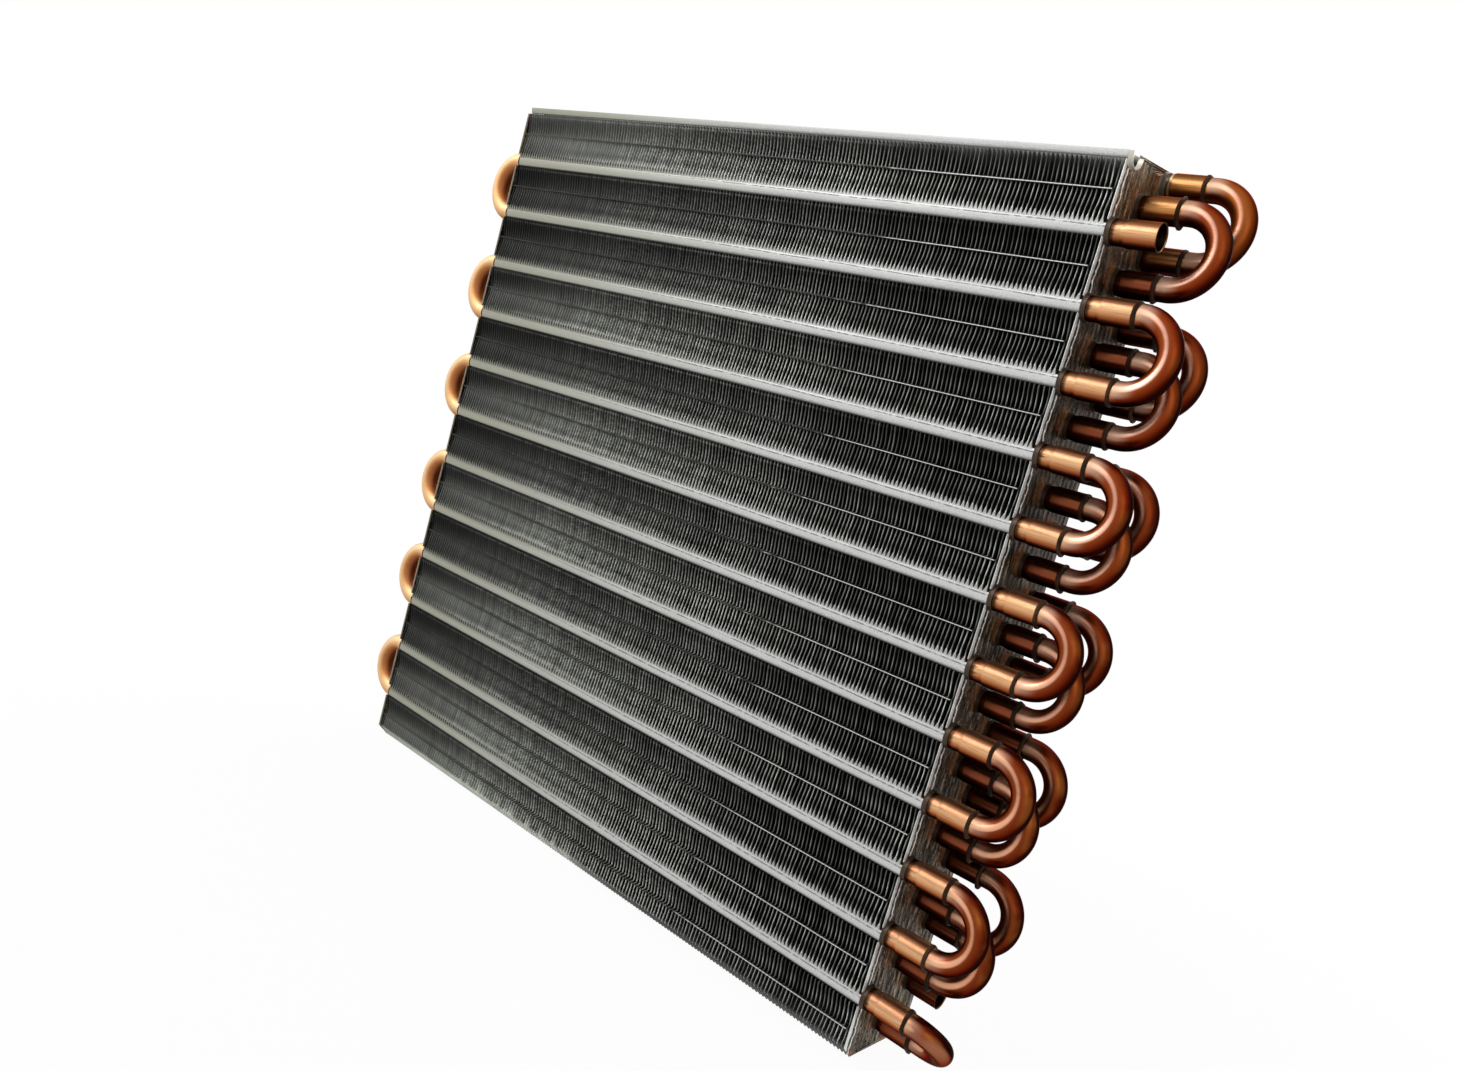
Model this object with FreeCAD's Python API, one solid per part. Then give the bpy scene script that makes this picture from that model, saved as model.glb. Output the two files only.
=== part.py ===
import FreeCAD, Part
import math
import os

# Fin-and-tube refrigerant coil of an air dryer. Lengths are in millimetres.
# Tubes run along X, air flows along Y from the front (-Y), and Z is up.
# The origin is the middle of the fin stack's base.

# Driving sizes of the tube pattern
tube_pitch = 21.0           # height from one tube to the next in a row
row_pitch = 12.7            # depth from one tube row to the next
row_count = 3
pitches_high = 13           # fin height, counted in tube pitches

# Driving sizes of the copper
tube_od = 7.0               # tube before it is expanded into the fins
tube_wall = 0.35
tube_expansion = 0.2        # how much the diameter grows inside the fins
braze_gap = 0.05            # radial gap that the filler runs into
hairpin_lead = 0.6          # straight tube between the fins and a hairpin's bend
rim_reach = 14.6            # from the fins to the rim of a belled end, front row
inner_rim_reach = 12.3      # the same, middle and rear rows
bell_length = 9.0           # straight socket inside a belled end
bell_cone = 1.2
bend_insertion = 8.0        # how deep a return bend's leg sits in its socket
bend_lead = 1.8             # straight tube between a rim and the bend, front row
inner_bend_lead = 3.0       # the same, middle and rear rows
mouth_flare = 0.2           # how much the rim of a bell is opened out
bead_length = 1.7           # braze filler along the tube, from the rim
bead_rise = 0.15            # how much the filler stands proud of the rim at its back
bead_crest = 0.3            # the same at its highest place

# Driving sizes of the fin stack
fin_width = 256.0           # along the tubes
front_skin = 0.4            # from the leading edge to the front of the front tubes
collar_fit = 0.02           # radial gap between a fin's collar and its tube
collar_length = 1.4         # collars of the last fin, which stand out on the right
collar_wall = 0.3
edge_margin = 0.65          # fin left above the rear row's top tube
nose_depth = 5.5            # slope at the lower front corner, along Y
nose_height = 4.4           # the same slope, along Z
gap_count = 48              # one rib stands for a few of the thin fins
gap_width = 2.6
band_height = 4.8           # closed strip in front of each tube of the front row
front_gap_depth = 2.2
web = 0.25                  # metal left between a gap and a tube
rear_web = 0.7

# Sizes that follow from the driving sizes
axis_x = FreeCAD.Vector(1, 0, 0)
leg_radius = (tube_od + tube_expansion) / 2
bend_radius = tube_od / 2
socket_radius = bend_radius + braze_gap
rim_radius = socket_radius + tube_wall
bore_radius = leg_radius + collar_fit
fin_depth = row_count * row_pitch
fin_height = pitches_high * tube_pitch
left_face = -fin_width / 2
right_face = fin_width / 2
front_face = -fin_depth / 2
rear_face = fin_depth / 2
front_row = front_face + front_skin + leg_radius
middle_row = front_row + row_pitch
rear_row = middle_row + row_pitch
top_slope = math.asin((bore_radius + edge_margin) / (rear_row - front_face))
rear_height = fin_height + fin_depth * math.tan(top_slope)

# Tube heights from the top down. The middle row sits half a pitch off the others.
front_heights = [tube_pitch * step for step in range(pitches_high - 1, 0, -1)]
middle_heights = [tube_pitch * (step + 0.5) for step in range(pitches_high - 1, -1, -1)]
rear_heights = [tube_pitch * step for step in range(pitches_high, 0, -1)]


def rim_at(y):
    """Where the belled ends of the row at this depth stop."""
    return right_face + (rim_reach if y < middle_row - 1 else inner_rim_reach)


def bend_at(y):
    """Where the return bends of the row at this depth start to turn."""
    return rim_at(y) + (bend_lead if y < middle_row - 1 else inner_bend_lead)


def solid_of_revolution(points, centre):
    """Turn a closed section, given as (x, radius) points, about the X line through centre."""
    corners = [FreeCAD.Vector(x, centre.y, centre.z + radius) for x, radius in points]
    face = Part.Face(Part.makePolygon(corners + corners[:1]))
    return face.revolve(centre, axis_x, 360)


def hollow_bend(start, end, direction):
    """Bend a tube half way round from start to end, bulging along direction (+1 or -1 in X)."""
    outer = Part.Wire(Part.makeCircle(bend_radius, start, axis_x))
    inner = Part.Wire(Part.makeCircle(bend_radius - tube_wall, start, axis_x))
    section = Part.Face([outer, inner])
    middle = (start + end) * 0.5
    turn_axis = (start - end).cross(axis_x) * direction
    return section.revolve(middle, turn_axis, 180)


def joined(solids):
    """Fuse touching solids into one and drop the seams between them."""
    return solids[0].fuse(solids[1:]).removeSplitter()


def hairpin_leg(y, z):
    """One straight leg: bend end on the left, expanded through the fins, belled on the right."""
    bend_x = left_face - hairpin_lead
    rim_x = rim_at(y)
    bell_x = rim_x - bell_length
    cone_x = bell_x - bell_cone
    outside = [
        (bend_x, bend_radius),
        (left_face, leg_radius),
        (cone_x, leg_radius),
        (bell_x, rim_radius),
        (rim_x - mouth_flare, rim_radius),
        (rim_x, rim_radius + mouth_flare / 2),
    ]
    inside = [
        (rim_x, socket_radius + mouth_flare),
        (rim_x - mouth_flare, socket_radius),
        (bell_x, socket_radius),
        (cone_x, leg_radius - tube_wall),
        (left_face, leg_radius - tube_wall),
        (bend_x, bend_radius - tube_wall),
    ]
    return solid_of_revolution(outside + inside, FreeCAD.Vector(0, y, z))


def hairpin(upper, lower):
    """Two legs and the bend that joins them on the left. Each end is a (y, z) pair."""
    bend_x = left_face - hairpin_lead
    ends = [FreeCAD.Vector(bend_x, y, z) for y, z in (upper, lower)]
    return joined([hollow_bend(ends[0], ends[1], -1), hairpin_leg(*upper), hairpin_leg(*lower)])


def return_bend(upper, lower):
    """A U of tube whose two legs stand in the sockets of two belled ends."""
    bend_x = max(bend_at(y) for y, z in (upper, lower))
    ends = [FreeCAD.Vector(bend_x, y, z) for y, z in (upper, lower)]
    legs = []
    for end in ends:
        leg_x = rim_at(end.y) - bend_insertion
        section = [
            (leg_x, bend_radius),
            (bend_x, bend_radius),
            (bend_x, bend_radius - tube_wall),
            (leg_x, bend_radius - tube_wall),
        ]
        legs.append(solid_of_revolution(section, end))
    return joined([hollow_bend(ends[0], ends[1], 1)] + legs)


def braze_fillet(y, z):
    """Bead of filler that stands against a rim, round the tube that comes out of it."""
    rim_x = rim_at(y)
    section = [
        (rim_x, bend_radius),
        (rim_x, rim_radius + bead_rise),
        (rim_x + bead_length * 0.3, rim_radius + bead_crest),
        (rim_x + bead_length * 0.65, rim_radius),
        (rim_x + bead_length, bend_radius),
    ]
    return solid_of_revolution(section, FreeCAD.Vector(0, y, z))


def fin_outline():
    """Side outline of one fin: level base, sloped lower front corner, top rising to the rear."""
    corners = [
        (front_face, nose_height),
        (front_face + nose_depth, 0),
        (rear_face, 0),
        (rear_face, rear_height),
        (front_face, fin_height),
    ]
    points = [FreeCAD.Vector(left_face, y, z) for y, z in corners]
    return Part.Face(Part.makePolygon(points + points[:1]))


def bore(y, z):
    """Straight hole through the whole stack and the last fin's collar for one tube."""
    start = FreeCAD.Vector(left_face, y, z)
    return Part.makeCylinder(bore_radius, fin_width + collar_length, start, axis_x)


def collar(y, z):
    """What becomes the last fin's collar once the bore is cut."""
    start = FreeCAD.Vector(right_face, y, z)
    return Part.makeCylinder(bore_radius + collar_wall, collar_length, start, axis_x)


def front_gap(x, low_tube, high_tube):
    """Gap between two ribs at the front. It widens inwards and clears the tubes above and below."""
    half_band = band_height / 2
    tube_depth = front_row - front_face
    reach = math.hypot(tube_depth, half_band)
    flare = math.asin((bore_radius + web) / reach) - math.atan2(half_band, tube_depth)
    widening = front_gap_depth * math.tan(flare)
    low = low_tube + half_band
    high = high_tube - half_band
    floor = front_face + front_gap_depth
    corners = [(front_face, low), (floor, low + widening), (floor, high - widening), (front_face, high)]
    points = [FreeCAD.Vector(x, y, z) for y, z in corners]
    return Part.Face(Part.makePolygon(points + points[:1])).extrude(axis_x * gap_width)


def rear_gap(x):
    """Gap between two ribs at the rear, open at the top and at the base."""
    floor = rear_row + bore_radius + rear_web
    return Part.makeBox(gap_width, rear_face - floor, rear_height, FreeCAD.Vector(x, floor, 0))


def fin_stack():
    """The pressed fins as one ribbed block, with collars, tube holes and the cut-open spare row."""
    block = fin_outline().extrude(axis_x * fin_width).fuse([collar(y, z) for y, z in tube_places])
    holes = [bore(y, z) for y, z in tube_places]
    holes.append(bore(front_row, fin_height))
    rib_pitch = fin_width / (gap_count + 0.5)
    tubes_and_edges = [fin_height] + front_heights + [-tube_pitch]
    spans = list(zip(tubes_and_edges[1:], tubes_and_edges[:-1]))
    gaps = []
    for number in range(gap_count):
        x = left_face + rib_pitch * (number + 0.75) - gap_width / 2
        gaps += [front_gap(x, low, high) for low, high in spans]
        gaps.append(rear_gap(x))
    return block.cut(Part.makeCompound(gaps)).cut(Part.makeCompound(holes))


def pairs(places, first):
    """Neighbouring tubes joined two by two, starting with the tube whose index is first."""
    return list(zip(places[first::2], places[first + 1::2]))


# Tube places as (y, z), from the top of each row down
front_tubes = [(front_row, z) for z in front_heights]
middle_tubes = [(middle_row, z) for z in middle_heights]
rear_tubes = [(rear_row, z) for z in rear_heights]
tube_places = front_tubes + middle_tubes + rear_tubes

# The circuit: in at the top of the front row, down it, up the middle row, down the rear row
hairpin_pairs = {
    "front": pairs(front_tubes, 0),
    "middle": pairs(middle_tubes, 1),
    "rear": pairs(rear_tubes, 1),
}
bend_pairs = {
    "front": pairs(front_tubes, 1),
    "middle": pairs(middle_tubes, 0),
    "rear": pairs(rear_tubes, 0),
}
brazed_tubes = {
    "front": front_tubes[1:],
    "middle": middle_tubes,
    "rear": rear_tubes[:-1],
}

nodes = {"fin_stack": fin_stack()}
for row, joined_tubes in hairpin_pairs.items():
    for number, (upper, lower) in enumerate(joined_tubes, 1):
        nodes[f"hairpin_{row}_{number}"] = hairpin(upper, lower)
nodes["hairpin_crossover"] = hairpin(rear_tubes[0], middle_tubes[0])
for row, joined_tubes in bend_pairs.items():
    for number, (upper, lower) in enumerate(joined_tubes, 1):
        nodes[f"return_bend_{row}_{number}"] = return_bend(upper, lower)
nodes["return_bend_crossover"] = return_bend(front_tubes[-1], middle_tubes[-1])
for row, places in brazed_tubes.items():
    nodes[f"braze_fillets_{row}"] = Part.makeCompound([braze_fillet(y, z) for y, z in places])

os.makedirs("parts", exist_ok=True)
for name, shape in nodes.items():
    shape.exportStep(f"parts/{name}.step")
    print(name, "solids", len(shape.Solids), "valid", shape.isValid(), "volume", round(shape.Volume, 1))
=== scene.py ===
import math
import random

import bpy
from mathutils import Matrix, Vector
from mathutils.geometry import delaunay_2d_cdt


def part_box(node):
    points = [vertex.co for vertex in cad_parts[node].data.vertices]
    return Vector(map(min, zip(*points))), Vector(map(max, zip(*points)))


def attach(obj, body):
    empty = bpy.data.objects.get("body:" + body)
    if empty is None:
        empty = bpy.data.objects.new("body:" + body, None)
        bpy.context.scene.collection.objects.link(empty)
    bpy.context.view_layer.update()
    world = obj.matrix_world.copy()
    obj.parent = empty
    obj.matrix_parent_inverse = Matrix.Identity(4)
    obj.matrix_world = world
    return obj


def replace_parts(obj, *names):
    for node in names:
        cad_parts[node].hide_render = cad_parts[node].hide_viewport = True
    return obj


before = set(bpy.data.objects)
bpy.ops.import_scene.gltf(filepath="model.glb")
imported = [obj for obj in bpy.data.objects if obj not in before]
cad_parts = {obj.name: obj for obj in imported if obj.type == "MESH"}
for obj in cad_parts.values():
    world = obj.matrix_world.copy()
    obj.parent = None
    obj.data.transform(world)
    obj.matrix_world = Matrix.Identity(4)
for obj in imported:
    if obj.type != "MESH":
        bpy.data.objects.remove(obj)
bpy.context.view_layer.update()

mm = 0.001

# The tube pattern, as the coil was laid out
coil = {
    "tubePitch": 21 * mm,
    "rowPitch": 12.7 * mm,
    "pitchesHigh": 13,
    "legRadius": 3.6 * mm,
    "bendRadius": 3.5 * mm,
    "frontSkin": 0.4 * mm,      # leading edge to the front of the front tubes
    "collarLength": 1.4 * mm,   # collars that stand out of the last fin
    "rimReach": 14.6 * mm,      # fins to the rim of a bell, front row
    "innerRimReach": 12.3 * mm,  # the same, middle and rear rows
    "bandHeight": 4.8 * mm,     # bright strip in front of each front tube
    "noseDepth": 5.5 * mm,
    "noseHeight": 4.4 * mm,
}

finLow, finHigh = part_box("fin_stack")
leftX = finLow.x
rightX = finHigh.x - coil["collarLength"]
frontY, rearY = finLow.y, finHigh.y
rearTop = finHigh.z
frontTop = coil["tubePitch"] * coil["pitchesHigh"]
topRise = (rearTop - frontTop) / (rearY - frontY)
rimX = rightX + coil["rimReach"]
innerRimX = rightX + coil["innerRimReach"]
frontRow = frontY + coil["frontSkin"] + coil["legRadius"]
middleRow = frontRow + coil["rowPitch"]
rearRow = middleRow + coil["rowPitch"]
pitches = coil["pitchesHigh"]
frontTubes = [(frontRow, coil["tubePitch"] * n) for n in range(pitches - 1, 0, -1)]
middleTubes = [(middleRow, coil["tubePitch"] * (n + 0.5)) for n in range(pitches - 1, -1, -1)]
rearTubes = [(rearRow, coil["tubePitch"] * n) for n in range(pitches, 0, -1)]


def grey(value):
    return (value, value, value, 1)


def tint(red, green, blue):
    return (red, green, blue, 1)


# Node trees: one wrapper for a socket and one for a tree
class Wire:
    def __init__(self, tree, socket):
        self.tree, self.socket = tree, socket

    def math(self, operation, *others):
        inputs = dict(enumerate((self,) + others))
        return self.tree.add("ShaderNodeMath", {"operation": operation}, inputs)

    def __add__(self, other):
        return self.math("ADD", other)

    def __sub__(self, other):
        return self.math("SUBTRACT", other)

    def __mul__(self, other):
        return self.math("MULTIPLY", other)

    def __truediv__(self, other):
        return self.math("DIVIDE", other)

    def __pow__(self, other):
        return self.math("POWER", other)

    def __rsub__(self, other):
        return self.math("MULTIPLY_ADD", -1.0, other)

    def __rtruediv__(self, other):
        return self.math("POWER", -1.0) * other

    def capped(self):
        return self.math("MINIMUM", 1.0)

    __radd__ = __add__
    __rmul__ = __mul__


class Tree:
    def __init__(self, tree):
        self.tree = tree

    def add(self, kind, settings=None, inputs=None, output=0):
        node = self.tree.nodes.new(kind)
        for key, value in (settings or {}).items():
            if key == "stops":
                self.setStops(node.color_ramp, value)
            else:
                setattr(node, key, value)
        for key, value in (inputs or {}).items():
            if isinstance(value, Wire):
                self.tree.links.new(value.socket, node.inputs[key])
            else:
                node.inputs[key].default_value = value
        return Wire(self, node.outputs[output])

    def setStops(self, ramp, stops):
        while len(ramp.elements) < len(stops):
            ramp.elements.new(0.5)
        for element, (place, value) in zip(ramp.elements, stops):
            element.position = place
            element.color = grey(value) if isinstance(value, float) else tint(*value)

    def ramp(self, value, stops):
        return self.add("ShaderNodeValToRGB", {"stops": stops}, {"Fac": value})

    def smooth(self, value, low, high):
        return self.add(
            "ShaderNodeMapRange",
            {"interpolation_type": "SMOOTHSTEP", "clamp": True},
            {"Value": value, "From Min": low, "From Max": high},
        )

    def fade(self, value, low, high):
        return 1.0 - self.smooth(value, low, high)

    def between(self, value, low, full, ebb, high):
        # rises over the first two values and falls back over the last two
        return self.smooth(value, low, full) * self.fade(value, ebb, high)

    def mix(self, factor, first, second):
        return self.add("ShaderNodeMix", {"data_type": "RGBA"}, {0: factor, 6: first, 7: second}, 2)

    def noise(self, vector, scale, detail=2.0, roughness=0.5):
        inputs = {"Vector": vector, "Scale": scale, "Detail": detail, "Roughness": roughness}
        return self.add("ShaderNodeTexNoise", {}, inputs)

    def vector(self, x, y, z):
        return self.add("ShaderNodeCombineXYZ", {}, {0: x, 1: y, 2: z})


class Finish(Tree):
    def __init__(self, name):
        self.material = bpy.data.materials.new(name)
        self.material.use_nodes = True
        super().__init__(self.material.node_tree)
        self.shader = self.tree.nodes["Principled BSDF"]
        self.place = self.add("ShaderNodeTexCoord", output="Object")
        self.x = self.axis("X") * 1000.0    # millimetres from here on
        self.y = self.axis("Y") * 1000.0
        self.z = self.axis("Z") * 1000.0

    def axis(self, name):
        return self.add("ShaderNodeSeparateXYZ", {}, {"Vector": self.place}, name)

    def facing(self, x, y, z):
        # 1 where the surface faces this way, 0 where it faces away
        normal = self.add("ShaderNodeNewGeometry", output="Normal")
        way = tuple(Vector((x, y, z)).normalized())
        dot = self.add("ShaderNodeVectorMath", {"operation": "DOT_PRODUCT"}, {0: normal, 1: way}, "Value")
        return dot * 0.5 + 0.5

    def grain(self, x, y, z, detail, roughness):
        # noise that is finer or coarser along each axis, by these scales
        place = self.vector(self.x * x, self.y * y, self.z * z)
        return self.noise(place, 1.0, detail, roughness)

    def stored(self, name):
        return self.add("ShaderNodeAttribute", {"attribute_name": name}, output="Fac")

    def away(self, y, z):
        # distance in mm from a line along X
        return ((self.y - y) ** 2.0 + (self.z - z) ** 2.0) ** 0.5

    def set(self, **values):
        for name, value in values.items():
            socket = self.shader.inputs[name.replace("_", " ")]
            if isinstance(value, Wire):
                self.tree.links.new(value.socket, socket)
            else:
                socket.default_value = value

    def bump(self, height, strength, distance):
        inputs = {"Height": height, "Strength": strength, "Distance": distance}
        self.set(Normal=self.add("ShaderNodeBump", {}, inputs))


# How bright the fins are painted down one pitch, as light and shade fall, from the underside of a strip to
# the top of the next one
finLook = {
    "atLeft": [
        (0.0, 0.5), (0.05, 0.55), (0.12, 0.30), (0.25, 0.40), (0.38, 0.90), (0.48, 1.7), (0.60, 1.9),
        (0.72, 1.5), (0.90, 1.2), (0.97, 1.5), (1.0, 1.9),
    ],
    "amid": [
        (0.0, 0.35), (0.05, 0.65), (0.12, 0.60), (0.24, 1.0), (0.38, 1.45), (0.46, 2.2), (0.50, 0.5),
        (0.56, 1.6), (0.72, 2.0), (0.84, 1.3), (0.90, 2.2), (0.96, 4.5), (1.0, 6.0),
    ],
    "atRight": [
        (0.0, 0.10), (0.14, 0.10), (0.33, 0.38), (0.42, 0.18), (0.50, 0.08), (0.62, 0.40), (0.74, 0.36),
        (0.84, 0.14), (0.94, 0.45), (1.0, 1.5),
    ],
    "shade": tint(0.006, 0.007, 0.006),
    "metal": tint(0.83, 0.85, 0.78),
}


def withinPitch(finish):
    # 0 under a bright strip, 1 on top of the next one down
    band = coil["bandHeight"] / mm / 2
    pitch = coil["tubePitch"] / mm
    above = (finish.z / pitch).math("FRACT") * pitch
    return (pitch - band - above) / (pitch - 2 * band)


def litFinRows(finish):
    # 1 in the rows of fins painted lighter, where the light falls deeper between the fins: every second one
    # below the top two, the top one and the lowest
    pitch = coil["tubePitch"] / mm
    highest = pitch * (coil["pitchesHigh"] - 1)
    blur = 0.5
    everySecond = finish.smooth((finish.z / pitch / 2.0).math("FRACT"), 0.495, 0.505)
    everySecond = everySecond * finish.fade(finish.z, highest - pitch - blur, highest - pitch + blur)
    top = finish.smooth(finish.z, highest - blur, highest + blur)
    return everySecond + top + finish.fade(finish.z, pitch - blur, pitch + blur)


def finFinish():
    finish = Finish("finAluminium")
    x, y, z = finish.x, finish.y, finish.z
    tone, depth = finish.stored("finTone"), finish.stored("depth")
    down = withinPitch(finish)
    toMiddle = finish.smooth(x, -128.0, -55.0)
    toRight = finish.smooth(x, -10.0, 115.0)
    parted = finish.smooth(x, -90.0, 30.0)
    rippled = finish.between(x, -95.0, -35.0, 30.0, 90.0)
    fine = finish.grain(1.7, 0.0, 0.09, 3.0, 0.65)
    coarse = finish.grain(1.3, 0.0, 1.2, 2.0, 0.7)
    cloud = finish.grain(0.05, 0.0, 0.11, 3.0, 0.55)
    drift = finish.grain(0.045, 0.0, 0.06, 2.0, 0.5)
    strokes = finish.noise(finish.vector(x * 1.7 + z * 1.2 + drift * 6.0, 0.0, z * 0.25), 1.0, 2.0, 0.6)

    # painted light and shade down one pitch of fins, blended from the left through the middle to the right
    along = finish.ramp(down, finLook["atLeft"]) * (1.0 - toMiddle)
    along = along + finish.ramp(down, finLook["amid"]) * toMiddle * (1.0 - toRight)
    along = along + finish.ramp(down, finLook["atRight"]) * toRight
    # painted shade: a fin is darker the deeper a point lies between two fins
    reach = 138.0 / (262.0 - x)             # how far in the light falls between two fins
    near, far = reach * (0.55 - toRight * 0.25), reach * (1.15 - toRight * 0.35)
    litNearEdge = 1.0 - finish.smooth(depth, near, far) * (0.25 + parted * 0.75)
    # painted light: darker on the left and lighter on the right, and a little darker towards the top
    level = (0.10 + toMiddle * 0.20 + toRight * 0.70) * (1.25 - finish.smooth(z, 30.0, 220.0) * 0.3)
    bright = level * along * litNearEdge

    # painted light and unevenness: tone that differs along a fin and from fin to fin, painted streaks of
    # light in the ripples where the fins are bent, and the last fins on the right, the lighter rows and some
    # stretches from left to right painted lighter or darker
    bright = bright * (1.0 + (fine - 0.5) * (0.3 + toMiddle * 1.6 - rippled * 0.9)) * (0.75 + cloud * 0.5)
    bright = bright * (1.0 + (tone - 0.5) * (toMiddle * 0.4 + toRight * 0.9))
    bright = bright * (1.0 + rippled * (strokes - 0.48) * 3.2)
    bright = bright * (1.0 + finish.smooth(x, 121.5, 124.5) * 1.2)
    bright = bright * (1.0 + (coarse - 0.5) * finish.smooth(x, -95.0, -25.0) * (1.0 - toRight * 0.7) * 1.6)
    rows = litFinRows(finish)
    bright = bright * (rows + (1.0 - rows) * (0.47 + finish.smooth(x, -40.0, 10.0) * 0.22))
    bright = bright * (1.6 - finish.smooth(x, -120.0, -80.0) * 0.6)
    bright = bright * (1.0 - finish.between(x, 30.0, 60.0, 90.0, 112.0) * 0.30)

    # painted highlight: a faint dotted line of light on the fin edges just under each strip, gone on the
    # right
    litDots = finish.between(down, 0.038, 0.048, 0.064, 0.074) * (1.0 - toRight)
    bright = bright + litDots * finish.smooth(tone, -0.3, 0.8) * (0.08 + toMiddle * 0.18)
    bright = bright * finish.smooth(x, -127.3, -125.0)
    topLeft = finish.smooth(z, 254.0, 256.5) * finish.fade(x, -100.0, 0.0)
    bright = bright + topLeft * 0.10 * (0.4 + fine)

    # lighter: scratches over the base, a pale strip along the base itself, and painted light along the rear
    # edge and the top edge
    scratch = finish.smooth(tone, 0.55, 0.75) * finish.between(x, -76.0, -60.0, -25.0, 20.0)
    scratch = scratch * finish.fade(z + fine * 10.0, 9.5, 12.5)
    base = finish.fade(z, 4.6, 4.9) * (1.0 - finish.smooth(x, -60.0, 60.0) * 0.6)
    litBehind = finish.fade(rearY / mm - y, 0.15, 2.2)
    underTop = frontTop / mm + (y - frontY / mm) * topRise - z
    litAbove = finish.fade(underTop, 0.2, 2.5) * finish.smooth(y, -15.0, -11.0)
    bright = bright + scratch * 0.65 + base * 0.50 + (litBehind + litAbove) * 0.50
    finish.set(
        Base_Color=finish.mix(bright.capped(), finLook["shade"], finLook["metal"]),
        Metallic=0.25,
        Roughness=0.45,
    )
    return finish.material


# Painted light and shade on a strip, from its underside up, on the right and on the left, and the lines along
# it
stripLook = {
    "crisp": [
        (0.0, 0.05), (0.08, 0.20), (0.13, 0.50), (0.20, 1.05), (0.30, 1.10), (0.55, 0.95), (0.72, 0.97),
        (0.78, 0.80), (0.85, 0.62), (1.0, 0.55),
    ],
    "soft": [
        (0.0, 0.05), (0.07, 0.15), (0.12, 0.90), (0.18, 1.25), (0.30, 1.20), (0.45, 1.0), (0.62, 0.78),
        (0.80, 0.55), (1.0, 0.35),
    ],
    "lines": [
        (0.0, 0.0), (0.25, 0.0), (0.29, 0.45), (0.33, 0.0), (0.60, 0.0), (0.64, 0.9), (0.68, 0.9),
        (0.72, 0.0),
    ],
    "shade": tint(0.02, 0.02, 0.018),
    "leftMetal": tint(0.31, 0.308, 0.245),
    "rightMetal": tint(0.57, 0.575, 0.56),
}


def stripFinish():
    finish = Finish("collarAluminium")
    x, z = finish.x, finish.z
    pitch, band = coil["tubePitch"] / mm, coil["bandHeight"] / mm
    level = ((z / pitch + 0.5).math("FRACT") - 0.5) * pitch / band + 0.5   # 0 to 1 up the strip
    toRight = finish.smooth(x, -128.0, 60.0)
    soft = finish.fade(x, -100.0, 0.0)
    speck = finish.smooth(finish.grain(2.4, 0.0, 5.0, 2.0, 0.6), 0.58, 0.66)
    dash = finish.smooth(finish.grain(0.5, 0.0, 0.3, 2.0, 0.6), 0.38, 0.55)
    wander = finish.grain(0.03, 0.0, 0.3, 2.0, 0.5) * 0.16
    # painted light and shade up the strip, crisp on the right and soft on the left; the metal under it is
    # darker on the left
    light = finish.ramp(level, stripLook["crisp"]) * (1.0 - soft)
    light = light + finish.ramp(level, stripLook["soft"]) * soft
    light = light * (0.60 + finish.grain(1.4, 0.0, 3.0, 3.0, 0.6) * 0.75)
    light = light * (0.86 + finish.grain(0.05, 0.0, 0.4, 2.0, 0.5) * 0.28)
    lines = finish.ramp(level + wander, stripLook["lines"]) * finish.smooth(x, -90.0, 10.0)
    light = light * (1.0 - lines * (0.25 + dash * 0.60)) * (1.0 - speck * toRight * 0.6)
    metal = finish.mix(toRight, stripLook["leftMetal"], stripLook["rightMetal"])
    finish.set(Base_Color=finish.mix(light, stripLook["shade"], metal), Metallic=0.3, Roughness=0.45)
    return finish.material


# The end fins' faces: streaks of pale on dark, burnt patches, and the tubes mirrored in them
endLook = {
    "dark": tint(0.006, 0.003, 0.001),
    "topDark": tint(0.038, 0.016, 0.005),
    "pale": tint(0.25, 0.195, 0.135),
    "lowPale": tint(0.52, 0.41, 0.29),
    "topPale": tint(0.46, 0.34, 0.22),
    "burnt": tint(0.040, 0.018, 0.008),
    "topBurnt": tint(0.14, 0.065, 0.024),
    "dullMirror": tint(0.14, 0.038, 0.010),
    "brightMirror": tint(0.62, 0.24, 0.075),
    "rightEdge": tint(0.86, 0.87, 0.84),
    "leftEdge": tint(0.62, 0.57, 0.47),
}


def mirroredTubes(finish, streak):
    # the copper mirrors in the face ahead of each tube
    pitch = coil["tubePitch"] / mm
    fall = 0.24
    glow = 0.0
    for row, half in ((frontRow, 0.5), (middleRow, 0.0), (rearRow, 0.5)):
        ahead = row / mm - finish.y
        level = ((finish.z - ahead * fall) / pitch + half).math("FRACT") * pitch - pitch / 2
        near = finish.fade(level.math("ABSOLUTE"), 2.2, 4.6)
        glow = glow + near * finish.smooth(ahead, -3.0, 0.0) * finish.fade(ahead + streak * 4.0, 4.5, 11.5)
    return glow.capped()


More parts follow.
